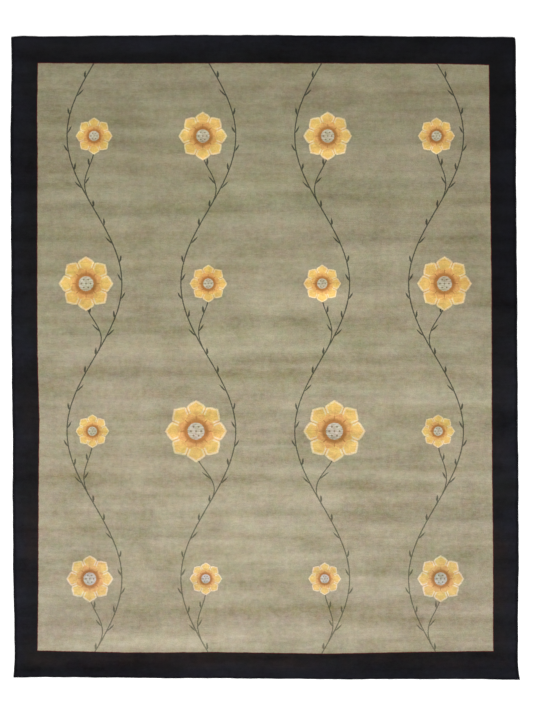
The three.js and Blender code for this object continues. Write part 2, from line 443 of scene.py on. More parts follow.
tangle = cloudy(given["Place"], 5.0, (TANGLES_A_METRE, TANGLES_A_METRE), 2.0, 0.6)["Fac"]
frizz = calc("ADD", calc("MULTIPLY", hairs, 0.5), calc("MULTIPLY", tangle, 0.5))
tip = calc("MULTIPLY_ADD", tufts["Distance"], -TIP_DROP, frizz)
ragged_gap = calc("MULTIPLY_ADD", calc("SUBTRACT", frizz, 0.5), -RAGGED_GAPS, tufts["Distance"])
across_knot = calc("PINGPONG", calc("MULTIPLY", column, 2.0), 1.0)
along_knot = calc("PINGPONG", calc("MULTIPLY", row, 2.0), 1.0)
fill(result, {
    "Scatter": calc("SUBTRACT", chances[0], 0.5),
    "Tint": calc("SUBTRACT", chances[1], 0.5),
    "Gap": rises(ragged_gap, *GAP_EDGE),
    "Tip Height": tip,
    "Back Height": calc("SQRT", calc("MULTIPLY", across_knot, along_knot)),
})

# Abrash and pile lay: each batch of yarn was dyed by hand, so the colour changes in long bands, streaks and
# faint clouds. The lighter and darker clouds are partly painted shade from the way the pile lies. Where it's
# paler, it has lost more of its yellow. The stretch of a layer is how many of its changes lie in a metre,
# across the rug and along it.
ABRASH_AND_LAY_LAYERS = [
    {"amount": "Bands", "share": 0.8, "stretch": (0.9, 3.6), "detail": 2.0},
    {"amount": "Bands", "share": 1.0, "stretch": (0.5, 8.0), "detail": 1.0},
    {"amount": "Bands", "share": 0.95, "stretch": (1.0, 18.0), "detail": 1.0},
    {"amount": "Streaks", "share": 0.62, "stretch": (8.0, 80.0), "detail": 2.0},
    {"amount": "Streaks", "share": 0.15, "stretch": (1.6, 70.0), "detail": 1.0},
    {"amount": "Streaks", "share": 0.85, "stretch": (30.0, 190.0), "detail": 1.0},
    {"amount": "Streaks", "share": 0.2, "stretch": (150.0, 14.0), "detail": 1.0},
    {"amount": "Clouds", "share": 0.3, "stretch": (46.0, 6.0), "detail": 2.0},
    {"amount": "Clouds", "share": 0.95, "stretch": (7.0, 14.0), "detail": 4.0},
    {"amount": "Clouds", "share": 1.0, "stretch": (4.5, 6.0), "detail": 3.0},
    {"amount": "Clouds", "share": 0.8, "stretch": (50.0, 50.0), "detail": 2.0},
]
TONE_LAYERS = [
    {"share": 1.08, "stretch": (24.0, 21.0), "detail": 5.0},
    {"share": 0.5, "stretch": (1.0, 9.0), "detail": 3.0},
]
PALING = (0.95, 1.0, 1.28)
TONE_SWINGS = (1.0, 1.0, 1.15)
LAYER_ROUGHNESS, TONE_ROUGHNESS = 0.6, 0.75
abrash_and_lay_shade, given, result = shader_group("abrash_and_lay_shade",
                                     {"Place": "Vector", "Bands": "Float", "Streaks": "Float",
                                      "Clouds": "Float", "Tones": "Float"}, {"Shade": "Vector"})
light = 0.0
for k, layer in enumerate(ABRASH_AND_LAY_LAYERS):
    cloud = cloudy(given["Place"], 1.3 + 2.9 * k, layer["stretch"], layer["detail"], LAYER_ROUGHNESS)["Fac"]
    amount = calc("MULTIPLY", given[layer["amount"]], layer["share"])
    light = calc("MULTIPLY_ADD", calc("SUBTRACT", cloud, 0.5), amount, light)
light = vector_calc("MULTIPLY_ADD", PALING, light, (1, 1, 1))
for k, layer in enumerate(TONE_LAYERS):
    tones = cloudy(given["Place"], 0.7 + 5.3 * k, layer["stretch"], layer["detail"], TONE_ROUGHNESS)["Color"]
    tones = vector_calc("SUBTRACT", tones, (0.5, 0.5, 0.5))
    amount = calc("MULTIPLY", given["Tones"], layer["share"])
    light = vector_calc("MULTIPLY_ADD", scaled(tones, amount), TONE_SWINGS, light)
fill(result, {"Shade": light})

# The border's dark wool goes from blue-black at the outside to black at the field. It has turned rusty here and
# there along the field of the near half. Towards the near end it is painted paler, as a painted sheen. The
# first rows at the near end and the far half of the right side are darker.
BORDER_BLUE = dye(27, 27.5, 33.5)
BORDER_BLACK = dye(24, 24, 25.5)
BORDER_BROWN = dye(33, 27, 26)
NEAR_SHEEN_PAINTED = 0.31
DARKER_BY = 0.24
BLACK_FOR_A_METRE, BLACK_BY_WEAR = 7.0, 2.0
BLUE_TO_BLACK = (0.1, 0.8)
RUST_PATCHES = (0.40, 0.58)
RUST_BESIDE_FIELD = (0.02, 0.09)
NEAR_HALF = (0.8, -1.4)
FIRST_ROWS = (-1.450, -1.485)
RIGHT_SIDE, FAR_HALF = (0.9, 1.1), (-0.1, 0.35)
SHADE_DEPTH = (1.5, 1.5, 1.2)
SHADE_START = (-0.5, -0.5, -0.2)
border_dye, given, result = shader_group("border dye",
                                         {"Place": "Vector", "From Rim": "Float",
                                          "Shade": "Vector"}, {"Color": "Color"})
worn = cloudy(given["Place"], 21.0, (3.0, 4.0), 3.0, 0.6)["Fac"]
inner_share = calc("ADD", calc("MULTIPLY", given["From Rim"], BLACK_FOR_A_METRE),
                   calc("MULTIPLY", calc("SUBTRACT", worn, 0.5), BLACK_BY_WEAR))
dark = mixed(rises(inner_share, *BLUE_TO_BLACK), BORDER_BLUE, BORDER_BLACK)
rusty = cloudy(given["Place"], 43.0, (1.6, 2.2), 4.0, 0.65)["Fac"]
apart = parts_of(given["Place"])
near_share = rises(apart["Y"], *NEAR_HALF)
rusty_edge = calc("MULTIPLY", near_share, rises(given["From Rim"], *RUST_BESIDE_FIELD))
rusty = calc("MULTIPLY", rises(rusty, *RUST_PATCHES), rusty_edge)
dark = mixed(rusty, dark, BORDER_BROWN)
first_rows = rises(apart["Y"], *FIRST_ROWS)
far_right = calc("MULTIPLY", rises(apart["X"], *RIGHT_SIDE), rises(apart["Y"], *FAR_HALF))
# Painted sheen: the border's colour is raised towards the near end.
sheen_and_darkening = calc("MULTIPLY_ADD", near_share, NEAR_SHEEN_PAINTED, 1.0)
sheen_and_darkening = calc("MULTIPLY_ADD", calc("MAXIMUM", first_rows, far_right), -DARKER_BY, sheen_and_darkening)
deeper = vector_calc("MULTIPLY_ADD", given["Shade"], SHADE_DEPTH, SHADE_START)
fill(result, {"Color": vector_calc("MULTIPLY", scaled(dark, sheen_and_darkening), deeper)})

# Leaves: narrow and pointed, one after another on alternate sides of a stem. Along and Off are measured from
# the start of the stem and from its middle line.
LEAF_PITCH = 0.0875
LEAF_LENGTH = 0.040
LEAF_HALF_WIDTH = 0.0040
LEAF_TURN = math.radians(35)
LEAF_FOOT, LEAF_CURL = 0.012, 0.006
leaves, given, result = shader_group("leaves", {"Along": "Float", "Off": "Float"}, {"Edge": "Float"})
count = calc("FLOOR", calc("DIVIDE", given["Along"], LEAF_PITCH))
side = calc("MULTIPLY_ADD", calc("FLOORED_MODULO", count, 2.0), 2.0, -1.0)
out = calc("MULTIPLY", given["Off"], side)
on = calc("SUBTRACT", given["Along"], calc("MULTIPLY_ADD", count, LEAF_PITCH, LEAF_FOOT))
along_leaf = calc("MULTIPLY_ADD", on, math.cos(LEAF_TURN), calc("MULTIPLY", out, math.sin(LEAF_TURN)))
on_leaf = calc("DIVIDE", along_leaf, LEAF_LENGTH)
across_leaf = calc("MULTIPLY_ADD", out, math.cos(LEAF_TURN), calc("MULTIPLY", on, -math.sin(LEAF_TURN)))
curl = calc("MULTIPLY", calc("MULTIPLY", on_leaf, on_leaf), LEAF_CURL)
swell = calc("MULTIPLY", on_leaf, calc("SUBTRACT", 1.0, on_leaf))
leaf_edge = calc("MULTIPLY_ADD", swell, -4 * LEAF_HALF_WIDTH,
                 calc("ABSOLUTE", calc("ADD", across_leaf, curl)))
off_middle = calc("ABSOLUTE", calc("SUBTRACT", on_leaf, 0.5))
past_leaf = calc("MULTIPLY", calc("SUBTRACT", off_middle, 0.5), LEAF_LENGTH)
fill(result, {"Edge": calc("MAXIMUM", leaf_edge, past_leaf)})

# Vines: a cell holds one bend of a vine, the stem that leaves it for the rosette, and the leaves of both.
VINE_HALF_WIDTH = 0.0028
STEM_HALF_WIDTH = 0.0025
STEM_START, STEM_LEAF_START = 0.02, 0.11
STEM_END = 0.7
vines, given, result = shader_group("vines", {"Place": "Vector", "Rosette Radius": "Float"},
                                    {"Edge": "Float"})
apart = parts_of(given["Place"])
column = calc("FLOOR", calc("DIVIDE", apart["X"], BEND_WIDTH))
row = calc("FLOOR", calc("DIVIDE", apart["Y"], BEND_LENGTH))
way = calc("MULTIPLY_ADD", calc("FLOORED_MODULO", calc("ADD", column, row), 2.0), -2.0, 1.0)
cell_middle = calc("MULTIPLY_ADD", column, BEND_WIDTH, BEND_WIDTH / 2)
across = calc("MULTIPLY", way, calc("SUBTRACT", apart["X"], cell_middle))
along = calc("SUBTRACT", apart["Y"], calc("MULTIPLY", row, BEND_LENGTH))
turn = calc("MULTIPLY", along, math.pi / BEND_LENGTH)
vine = calc("MULTIPLY", calc("SINE", turn), SWING)
vine_slope = calc("MULTIPLY", calc("COSINE", turn), SWING * math.pi / BEND_LENGTH)


def squared_off(slope):
    """How much nearer a sloping line is than it is straight across."""
    return calc("INVERSE_SQRT", calc("MULTIPLY_ADD", slope, slope, 1.0))


off_vine = calc("MULTIPLY", calc("SUBTRACT", across, vine), squared_off(vine_slope))
stem_end = calc("MULTIPLY_ADD", given["Rosette Radius"], -STEM_END, BEND_LENGTH / 2)
stem_run = calc("SUBTRACT", stem_end, STEM_START)
share = node(vines, "ShaderNodeClamp", [calc("DIVIDE", calc("SUBTRACT", along, STEM_START), stem_run)])[0]
eased = calc("MULTIPLY", calc("MULTIPLY", share, share), calc("MULTIPLY_ADD", share, -2.0, 3.0))
to_rosette = calc("SUBTRACT", calc("SUBTRACT", SWING - ROSETTE_GAP, given["Rosette Radius"]), vine)
stem = calc("MULTIPLY_ADD", to_rosette, eased, vine)
easing = calc("MULTIPLY", calc("MULTIPLY", share, calc("SUBTRACT", 1.0, share)), 6.0)
stem_turn = calc("DIVIDE", calc("MULTIPLY", to_rosette, easing), stem_run)
stem_slope = calc("MULTIPLY_ADD", vine_slope, calc("SUBTRACT", 1.0, eased), stem_turn)
off_stem = calc("MULTIPLY", calc("SUBTRACT", across, stem), squared_off(stem_slope))
past_stem = calc("MAXIMUM", calc("SUBTRACT", STEM_START, along), calc("SUBTRACT", along, stem_end))
stem_leaf = use_group(leaves, {"Along": calc("SUBTRACT", along, STEM_LEAF_START), "Off": off_stem})["Edge"]
off_leaves = calc("MAXIMUM", calc("SUBTRACT", STEM_LEAF_START, along), past_stem)
edges = [
    calc("SUBTRACT", calc("ABSOLUTE", off_vine), VINE_HALF_WIDTH),
    calc("MAXIMUM", calc("SUBTRACT", calc("ABSOLUTE", off_stem), STEM_HALF_WIDTH), past_stem),
    use_group(leaves, {"Along": along, "Off": off_vine})["Edge"],
    calc("MAXIMUM", stem_leaf, off_leaves),
]
nearest = edges[0]
for edge in edges[1:]:
    nearest = calc("MINIMUM", nearest, edge)
fill(result, {"Edge": nearest})

# A lotus rosette: cream-edged gold petals, an inner ring of orange ones, a brown ring and a silver-grey seed
# head. An edge says where the change to the next colour starts and ends, in radii of the rosette.
CREAM = dye(235, 211, 160)
DULL_CREAM = dye(222, 201, 151)
GOLD = dye(230, 191, 109)
DEEP_GOLD = dye(220, 174, 102)
ORANGE = dye(221, 168, 100)
BROWN = dye(176, 122, 66)
SILVER = dye(206, 197, 170)
SILVER_SHADE = dye(172, 160, 131)
SEED = dye(140, 126, 96)
HEART_EDGE, HEART_RIM = (0.48, 0.68), (0.110, 0.135)
CREAM_EDGE, DULL_EDGE, SEAM_EDGE = (0.085, 0.060), (0.032, 0.022), (0.022, 0.012)
FOOT_EDGE, INNER_RIM, AXIS_EDGE = (0.34, 0.47), (0.044, 0.022), (0.018, 0.008)
PETAL_EDGE = (-0.004, 0.004)
RING_EDGE = (HEAD_RADIUS + 0.01, HEAD_RADIUS - 0.02)
HEAD_EDGE = (0.278, 0.262)
SEEDS, SEED_RING, SEED_EDGE = 6, 0.165, (0.040, 0.024)
GLINT_TURN, GLINT_STRETCH, GLINT_EDGE = 0.7, (5.0, 26.0, 1.0), (0.35, 0.65)


def distance(across, along):
    return calc("SQRT", calc("ADD", calc("MULTIPLY", across, across), calc("MULTIPLY", along, along)))


def petal_outline(share_left, notch, reach):
    point = calc("MULTIPLY", calc("POWER", share_left, 4.0), PETAL_POINT)
    curve = calc("MULTIPLY_ADD", calc("SQRT", share_left), PETAL_ROUND, point)
    return calc("MULTIPLY_ADD", curve, reach, notch)


lotus, given, result = shader_group("lotus rosette", {"Own Place": "Vector", "Scatter": "Float"},
                                    {"Color": "Color", "Mask": "Float", "Silk": "Float"})
apart = parts_of(given["Own Place"])
away = distance(apart["X"], apart["Y"])
turn = calc("ARCTAN2", apart["Y"], apart["X"])
share = calc("PINGPONG", calc("MULTIPLY", turn, PETALS / math.pi), 1.0)
rest = calc("SUBTRACT", 1.0, share)
ragged = calc("ADD", away, given["Scatter"])
in_outer = calc("SUBTRACT", petal_outline(rest, OUTER_NOTCH, OUTER_REACH), ragged)
in_inner = calc("SUBTRACT", petal_outline(share, INNER_NOTCH, INNER_REACH), ragged)
off_seam = calc("MULTIPLY", ragged, calc("MULTIPLY", rest, math.pi / PETALS))
off_axis = calc("MULTIPLY", ragged, calc("MULTIPLY", share, math.pi / PETALS))
in_petal = calc("MINIMUM", in_outer, off_seam)
heart = mixed(rises(ragged, *HEART_EDGE), ORANGE, GOLD)
colour = mixed(rises(in_petal, *HEART_RIM), GOLD, heart)
colour = mixed(rises(in_petal, *CREAM_EDGE), colour, CREAM)
colour = mixed(rises(in_outer, *DULL_EDGE), colour, DULL_CREAM)
colour = mixed(rises(off_seam, *SEAM_EDGE), colour, DEEP_GOLD)
inner = mixed(rises(ragged, *FOOT_EDGE), BROWN, ORANGE)
inner = mixed(rises(in_inner, *INNER_RIM), inner, GOLD)
inner = mixed(rises(off_axis, *AXIS_EDGE), inner, BROWN)
colour = mixed(rises(in_inner, *PETAL_EDGE), colour, inner)
colour = mixed(rises(ragged, *RING_EDGE), colour, BROWN)
seed_share = calc("PINGPONG", calc("MULTIPLY", turn, SEEDS / math.pi), 1.0)
seed_turn = calc("MULTIPLY", seed_share, calc("MULTIPLY", away, math.pi / SEEDS))
seed_away = calc("SUBTRACT", away, SEED_RING)
seed_off = distance(seed_turn, seed_away)
# The seed head's silk is painted with glints: slanting flecks of lighter silver, a painted highlight.
slanted = node(lotus, "ShaderNodeMapping",
               {"Vector": given["Own Place"], "Rotation": (0, 0, GLINT_TURN), "Scale": GLINT_STRETCH})[0]
glints = node(lotus, "ShaderNodeTexNoise", {"Vector": slanted, "Scale": 1.0, "Detail": 2.0})[0]
head = mixed(rises(glints, *GLINT_EDGE), SILVER_SHADE, SILVER)
head = mixed(rises(calc("MINIMUM", seed_off, away), *SEED_EDGE), head, SEED)
colour = mixed(rises(ragged, *HEAD_EDGE), colour, head)
fill(result, {
    "Color": colour,
    "Mask": calc("MULTIPLY", rises(in_outer, *PETAL_EDGE), calc("LESS_THAN", apart["Z"], PAST_PETALS)),
    "Silk": rises(away, *HEAD_EDGE),
})

# The whole pattern, which shows on the top and, mirrored by the view, on the back. An edge says where a change
# starts and ends, in metres. The knots' own scatter makes each outline ragged.
FAR_SAGE = dye(154, 147, 118)
NEAR_SAGE = dye(173, 163, 137.5)
VINE_GREEN = dye(77, 77, 62)
VINE_FADED = dye(117, 113, 92)
LINE_RED = dye(92, 30, 32)
RIM_BLACK = dye(28, 28, 31)
LINE_WIDTH = 0.0032
NEAR_PALING = (1.0, 1.04, 1.3)
FIELD_ABRASH_AND_LAY = {"Bands": 0.52, "Streaks": 0.32, "Clouds": 0.52, "Tones": 0.33}
KNOT_TINT = 0.11
SAGE_ENDS, VINE_ENDS, PALING_ENDS = (-1.5, 1.5), (-1.5, 0.3), (0.1, -1.0)
STROKE_EDGE, RED_EDGE, BLACK_EDGE = (0.0008, -0.0008), (0.0012, 0.0), (0.0085, 0.0065)
BORDER_EDGE = (-LINE_WIDTH + 0.0012, -LINE_WIDTH)
RAGGED_STROKE, RAGGED_PETALS, RAGGED_LINE = 0.0016, 0.018, 0.0014
WANDER, WANDER_STRETCH = 0.004, (14, 14)
pattern, given, result = shader_group("pattern", {"Place": "Vector", "Scatter": "Float", "Tint": "Float"},
                                      {"Color": "Color", "Silk": "Float"})
shades = use_group(abrash_and_lay_shade, {"Place": given["Place"], **FIELD_ABRASH_AND_LAY})["Shade"]
shades = vector_calc("ADD", shades, calc("MULTIPLY", given["Tint"], KNOT_TINT))


def shaded(colour):
    return vector_calc("MULTIPLY", colour, shades)


radius_here = node(pattern, "ShaderNodeAttribute", attribute_name="rosette_radius")["Fac"]
stroke = use_group(vines, {"Place": given["Place"], "Rosette Radius": radius_here})["Edge"]
stroke = calc("MULTIPLY_ADD", given["Scatter"], RAGGED_STROKE, stroke)
to_far_end = parts_of(given["Place"])["Y"]
sage = mixed(rises(to_far_end, *SAGE_ENDS), NEAR_SAGE, FAR_SAGE)
vine_green = mixed(rises(to_far_end, *VINE_ENDS), VINE_FADED, VINE_GREEN)
colour = mixed(rises(stroke, *STROKE_EDGE), shaded(sage), shaded(vine_green))
own_place = node(pattern, "ShaderNodeAttribute", attribute_name="rosette")["Vector"]
rosette = use_group(lotus,
                    {"Own Place": own_place, "Scatter": calc("MULTIPLY", given["Scatter"], RAGGED_PETALS)})
paling = mixed(rises(to_far_end, *PALING_ENDS), (1, 1, 1, 1), (*NEAR_PALING, 1))
petals = vector_calc("MULTIPLY", rosette["Color"], paling)
colour = mixed(rosette["Mask"], colour, shaded(petals))
inside_at = parts_of(node(pattern, "ShaderNodeAttribute", attribute_name="inside")["Vector"])
inside_field = calc("MINIMUM", inside_at["X"], inside_at["Y"])
wander = calc("SUBTRACT", cloudy(given["Place"], 31.0, WANDER_STRETCH)["Fac"], 0.5)
inside_field = calc("MULTIPLY_ADD", wander, WANDER, inside_field)
inside_field = calc("MULTIPLY_ADD", given["Scatter"], RAGGED_LINE, inside_field)
colour = mixed(rises(inside_field, *RED_EDGE), colour, LINE_RED)
border = use_group(border_dye, {"Place": given["Place"], "From Rim": inside_at["Z"], "Shade": shades})
colour = mixed(rises(inside_field, *BORDER_EDGE), colour, border["Color"])
colour = mixed(rises(inside_at["Z"], *BLACK_EDGE), colour, RIM_BLACK)
fill(result, {"Color": colour, "Silk": calc("MULTIPLY", rosette["Mask"], rosette["Silk"])})
WOOL_ROUGHNESS, SILK_GLOSS = 0.92, 0.35
GAP_RETURN = 0.6


def new_look(name):
    """A new material, with what its surface takes and with where on the rug it is looked at."""
    made = bpy.data.materials.new(name)
    made.use_nodes = True
    surface = made.node_tree.nodes["Principled BSDF"].inputs
    return made, surface, node(made.node_tree, "ShaderNodeTexCoord")["Object"]


def relief(strength, depth, height):
    return node(height.id_data, "ShaderNodeBump",
                {"Strength": strength, "Distance": depth, "Height": height})[0]


def wool(name, tip_depth, ridges, painted_gap_shade):
    """Matt wool in the rug's pattern, with painted shade between the tips. Silk in the seed heads has more of a
    shine.
    """
    made, surface, place = new_look(name)
    knot = use_group(knots, {"Place": place, "Knot Width": KNOT_WIDTH, "Row Height": ROW_HEIGHT})
    look = use_group(pattern, {"Place": place, "Scatter": knot["Scatter"], "Tint": knot["Tint"]})
    # depth is painted shade: the wool is made darker in the gaps between the tips.
    depth = calc("MULTIPLY_ADD", knot["Gap"], -painted_gap_shade, 1 + GAP_RETURN * painted_gap_shade)
    fill(surface, {
        "Base Color": scaled(look["Color"], depth), "Normal": relief(1.0, tip_depth, knot[ridges]),
        "Roughness": calc("MULTIPLY_ADD", look["Silk"], -SILK_GLOSS, WOOL_ROUGHNESS),
        "Specular IOR Level": 0.05, "Sheen Weight": 0.02, "Sheen Roughness": 0.5,
    })
    return made


cloth_mesh.materials.append(wool("pile_wool", 0.0021, "Tip Height", 0.27))
cloth_mesh.materials.append(wool("back_of_knots", 0.0010, "Back Height", 0.12))

# The webs turned under at the ends: undyed cotton in a plain weave, weft over warp, with painted shade between
# the threads.
COTTON = dye(196, 186, 164)
COTTON_GAP_SHADE = dye(128, 116, 96)
THREAD_PITCH = 0.0021
WEB_EDGE = (0.0105, 0.0090)
web, surface, place = new_look("cotton_web")
apart = parts_of(place)
warp_turn = calc("MULTIPLY", apart["X"], math.pi / THREAD_PITCH)
weft_turn = calc("MULTIPLY", apart["Y"], math.pi / THREAD_PITCH)
over = calc("GREATER_THAN", calc("MULTIPLY", calc("SINE", warp_turn), calc("SINE", weft_turn)), 0.0)
warp_round = calc("ABSOLUTE", calc("SINE", warp_turn))
weft_round = calc("ABSOLUTE", calc("SINE", weft_turn))
thread = calc("MULTIPLY_ADD", over, calc("SUBTRACT", warp_round, weft_round), weft_round)
from_rim = parts_of(node(web.node_tree, "ShaderNodeAttribute", attribute_name="inside")["Vector"])["Z"]
fill(surface, {
    "Base Color": mixed(rises(from_rim, *WEB_EDGE), mixed(thread, COTTON_GAP_SHADE, COTTON), RIM_BLACK),
    "Normal": relief(0.7, 0.0006, thread), "Roughness": 0.9, "Specular IOR Level": 0.1,
})
cloth_mesh.materials.append(web)

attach(cloth, "root")
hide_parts("rug")

# The selvedges: along each long side the outer warps are bundled into a cord, and dark wool yarn is wound
# round it from one end to the other as the weaving goes on.
WINDING = {"Pitch": 0.0024, "Half Width": 0.0032, "Half Height": 0.0028, "Yarn Radius": 0.0011}
CORD_HEIGHT, CORD_POINTS = 0.0039, 400
STEPS_A_TURN = 9
YARN_BLACK = dye(26, 26, 30)
YARN_FADED = dye(43, 42, 48)
FADED_EDGE = (0.35, 0.80)
LINT = 0.6
yarn, surface, place = new_look("selvedge_yarn")
lint = calc("SUBTRACT", cloudy(place, 9.0, (500, 420))["Fac"], 0.5)
uneven = calc("ADD", cloudy(place, 5.0, (60, 12), 3.0, 0.6)["Fac"], calc("MULTIPLY", lint, LINT))
fill(surface, {
    "Base Color": mixed(rises(uneven, *FADED_EDGE), YARN_BLACK, YARN_FADED),
    "Normal": relief(0.5, 0.0004, cloudy(place, 1.0, (1600, 900), 1.0)["Fac"]),
    "Roughness": 0.9, "Specular IOR Level": 0.08,
})


def resampled(path, step):
    """A path of edges as a curve with a point at every step."""
    curve = node(path.id_data, "GeometryNodeMeshToCurve", [path])[0]
    return node(path.id_data, "GeometryNodeResampleCurve", {"Curve": curve, "Length": step}, mode="LENGTH")[0]


def realized(shape, material):
    """Plain geometry in one material."""
    plain = node(shape.id_data, "GeometryNodeRealizeInstances", [shape])[0]
    return node(shape.id_data, "GeometryNodeSetMaterial", {"Geometry": plain, "Material": material})[0]


winding, given, result = node_group("yarn wound on a cord", "Geometry", {
    "Geometry": "Geometry", "Pitch": "Float", "Half Width": "Float", "Half Height": "Float",
    "Yarn Radius": "Float", "Yarn": "Material"}, {"Geometry": "Geometry"})
cord = resampled(given["Geometry"], calc("DIVIDE", given["Pitch"], STEPS_A_TURN))
turn = calc("MULTIPLY", node(winding, "GeometryNodeInputIndex")[0], 2 * math.pi / STEPS_A_TURN)
aside = vector_calc("CROSS_PRODUCT", node(winding, "GeometryNodeInputTangent")[0], (0, 0, 1))
out = scaled(aside, calc("MULTIPLY", calc("COSINE", turn), given["Half Width"]))
up = joined(0.0, 0.0, calc("MULTIPLY", calc("SINE", turn), given["Half Height"]))
wound = node(winding, "GeometryNodeSetPosition", {"Geometry": cord, "Offset": vector_calc("ADD", out, up)})[0]
strand = node(winding, "GeometryNodeCurvePrimitiveCircle",
              {"Resolution": 4, "Radius": given["Yarn Radius"]})[0]
wound = node(winding, "GeometryNodeCurveToMesh",
             {"Curve": wound, "Profile Curve": strand, "Fill Caps": True})[0]
fill(result, {"Geometry": realized(wound, given["Yarn"])})


def path_mesh(name, points, leans=None):
    """Points joined in a row. leans are the ways in which what grows on them points."""
    path = bpy.data.meshes.new(name)
    path.from_pydata(points.tolist(), [(k, k + 1) for k in range(len(points) - 1)], [])
    if leans is not None:
        path.attributes.new("lean", "FLOAT_VECTOR", "POINT").data.foreach_set("vector", leans.ravel())
    return path


def grown(name, path, tree, values):
    """A plain mesh that a tree of geometry nodes makes on a path, as a new object on the rug."""
    made = bpy.data.objects.new(name, path)
    bpy.context.scene.collection.objects.link(made)
    grower = made.modifiers.new("grower", "NODES")
    grower.node_group = tree
    for socket in tree.interface.items_tree:
        if socket.in_out == "INPUT" and socket.name in values:
            grower[socket.identifier] = values[socket.name]
    ready = made.evaluated_get(bpy.context.evaluated_depsgraph_get())
    mesh = bpy.data.meshes.new_from_object(ready)
    mesh.name = name
    mesh.shade_smooth()
    made.modifiers.remove(grower)
    made.data = mesh
    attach(made, "root")
    return made


along = np.linspace(0, LENGTH, CORD_POINTS)
for name, from_left in (("selvedge_yarn_left", RIM), ("selvedge_yarn_right", WIDTH - RIM)):
    middle = in_plan(np.full(CORD_POINTS, from_left), along)
    cord_path = path_mesh(name, np.column_stack([middle, np.full(CORD_POINTS, CORD_HEIGHT)]))
    grown(name, cord_path, winding, {**WINDING, "Yarn": yarn})

# The tufts along the edges: the outermost knots of the pile lean outwards over the selvedges and the ends, so
# their wool shows as single tufts there, shorn on a slant.
TUFTS = {"Pitch": 0.0022, "Length": 0.0027, "Root Radius": 0.0010, "Tip Radius": 0.00125, "Spread": 0.34}
SMALLEST, LARGEST = (0.85, 0.85, 0.85), (1.2, 1.2, 1.15)
TUFT_SUNK, SUNK_BY_ROW = 0.0018, 0.06
SIDE_INSETS = [0.0083, 0.0088, 0.0098, 0.0114, 0.0134, 0.0158]
END_INSETS = [0.0010, 0.0018, 0.0029, 0.0044, 0.0063, 0.0085, 0.0107]
SIDE_MARGIN, END_MARGIN = 0.004, PILE_START + 0.002
SIDE_POINTS, END_POINTS = 700, 600
SLOPE_STEP = 0.0004
edge_wool, surface, place = new_look("edge_tuft_wool")
shades = use_group(abrash_and_lay_shade,
                   {"Place": place, "Bands": 0.5, "Streaks": 0.5, "Clouds": 0.5, "Tones": 0.3})["Shade"]
fill(surface, {
    "Base Color": use_group(border_dye, {"Place": place, "From Rim": 0.0, "Shade": shades})["Color"],
    "Normal": relief(1.0, 0.0008, cloudy(place, 8.0, (1500, 1500), 2.0, 0.6)["Fac"]),
    "Roughness": 0.92, "Specular IOR Level": 0.05,
})


def by_chance(low, high, seed):
    return node(seed.id_data, "FunctionNodeRandomValue", {0: low, 1: high, "Seed": seed},
                data_type="FLOAT_VECTOR")[0]


tufting, given, result = node_group("tufts in a row", "Geometry", {
    "Geometry": "Geometry", "Pitch": "Float", "Length": "Float", "Root Radius": "Float",
    "Tip Radius": "Float", "Spread": "Float", "Seed": "Int", "Wool": "Material"}, {"Geometry": "Geometry"})
row = resampled(given["Geometry"], given["Pitch"])
tuft = node(tufting, "GeometryNodeMeshCone", {
    "Vertices": 5, "Radius Top": given["Tip Radius"], "Radius Bottom": given["Root Radius"],
    "Depth": given["Length"]})["Mesh"]
lean = node(tufting, "GeometryNodeInputNamedAttribute", {"Name": "lean"},
            data_type="FLOAT_VECTOR")["Attribute"]
stray = scaled(by_chance((-1, -1, -1), (1, 1, 1), given["Seed"]), given["Spread"])
stand = node(tufting, "FunctionNodeAlignRotationToVector", {"Vector": vector_calc("ADD", lean, stray)},
             axis="Z")[0]
twist = by_chance((0, 0, 0), (0, 0, 2 * math.pi), calc("ADD", given["Seed"], 3))
stand = node(tufting, "FunctionNodeRotateRotation", {0: stand, 1: twist}, rotation_space="LOCAL")[0]
size = by_chance(SMALLEST, LARGEST, calc("ADD", given["Seed"], 7))
row = node(tufting, "GeometryNodeInstanceOnPoints", {
    "Points": row, "Instance": tuft, "Rotation": stand, "Scale": size})[0]
fill(result, {"Geometry": realized(row, given["Wool"])})


def edge_run(inset, at_side, is_other):
    """Places in a row at an inset from one edge. The right side and the far end are the other ones."""
    if at_side:
        along = np.linspace(SIDE_MARGIN, LENGTH - SIDE_MARGIN, SIDE_POINTS)
        return np.full(SIDE_POINTS, WIDTH - inset if is_other else inset), along
    across = np.linspace(END_MARGIN, WIDTH - END_MARGIN, END_POINTS)
    return across, np.full(END_POINTS, LENGTH - inset if is_other else inset)


def tuft_rows(name, at_side, is_other):
    """The rows of one edge in one path, there and back in turn, with the way in which each tuft stands."""
    side_step, end_step = SLOPE_STEP * at_side, SLOPE_STEP * (not at_side)
    rows_of_points, rows_of_leans = [], []
    for k, inset in enumerate(SIDE_INSETS if at_side else END_INSETS):
        u, v = (run[::1 - 2 * (k % 2)] for run in edge_run(inset, at_side, is_other))
        side, end = np.minimum(u, WIDTH - u), np.minimum(v, LENGTH - v)
        plan = in_plan(u, v)
        height = top_height(side, end)
        slope = (top_height(side + side_step, end + end_step) - height) / SLOPE_STEP
        steep = np.sqrt(1 + slope * slope)
        toward = in_plan(u + side_step * np.where(u < WIDTH / 2, 1, -1),
                         v + end_step * np.where(v < LENGTH / 2, 1, -1)) - plan
        toward /= np.hypot(*toward.T)[:, None]
        leans = np.column_stack([-toward * (slope / steep)[:, None], 1 / steep])
        rows_of_points.append(np.column_stack([plan, height]) - TUFT_SUNK * (1 + SUNK_BY_ROW * k) * leans)
        rows_of_leans.append(leans)
    return path_mesh(name, np.vstack(rows_of_points), np.vstack(rows_of_leans))


TUFTED_EDGES = [("edge_tufts_left", True, False), ("edge_tufts_right", True, True),
                ("edge_tufts_near", False, False), ("edge_tufts_far", False, True)]
for seed, (name, at_side, is_other) in enumerate(TUFTED_EDGES):
    values = {**TUFTS, "Seed": seed + 3, "Wool": edge_wool}
    grown(name, tuft_rows(name, at_side, is_other), tufting, values)

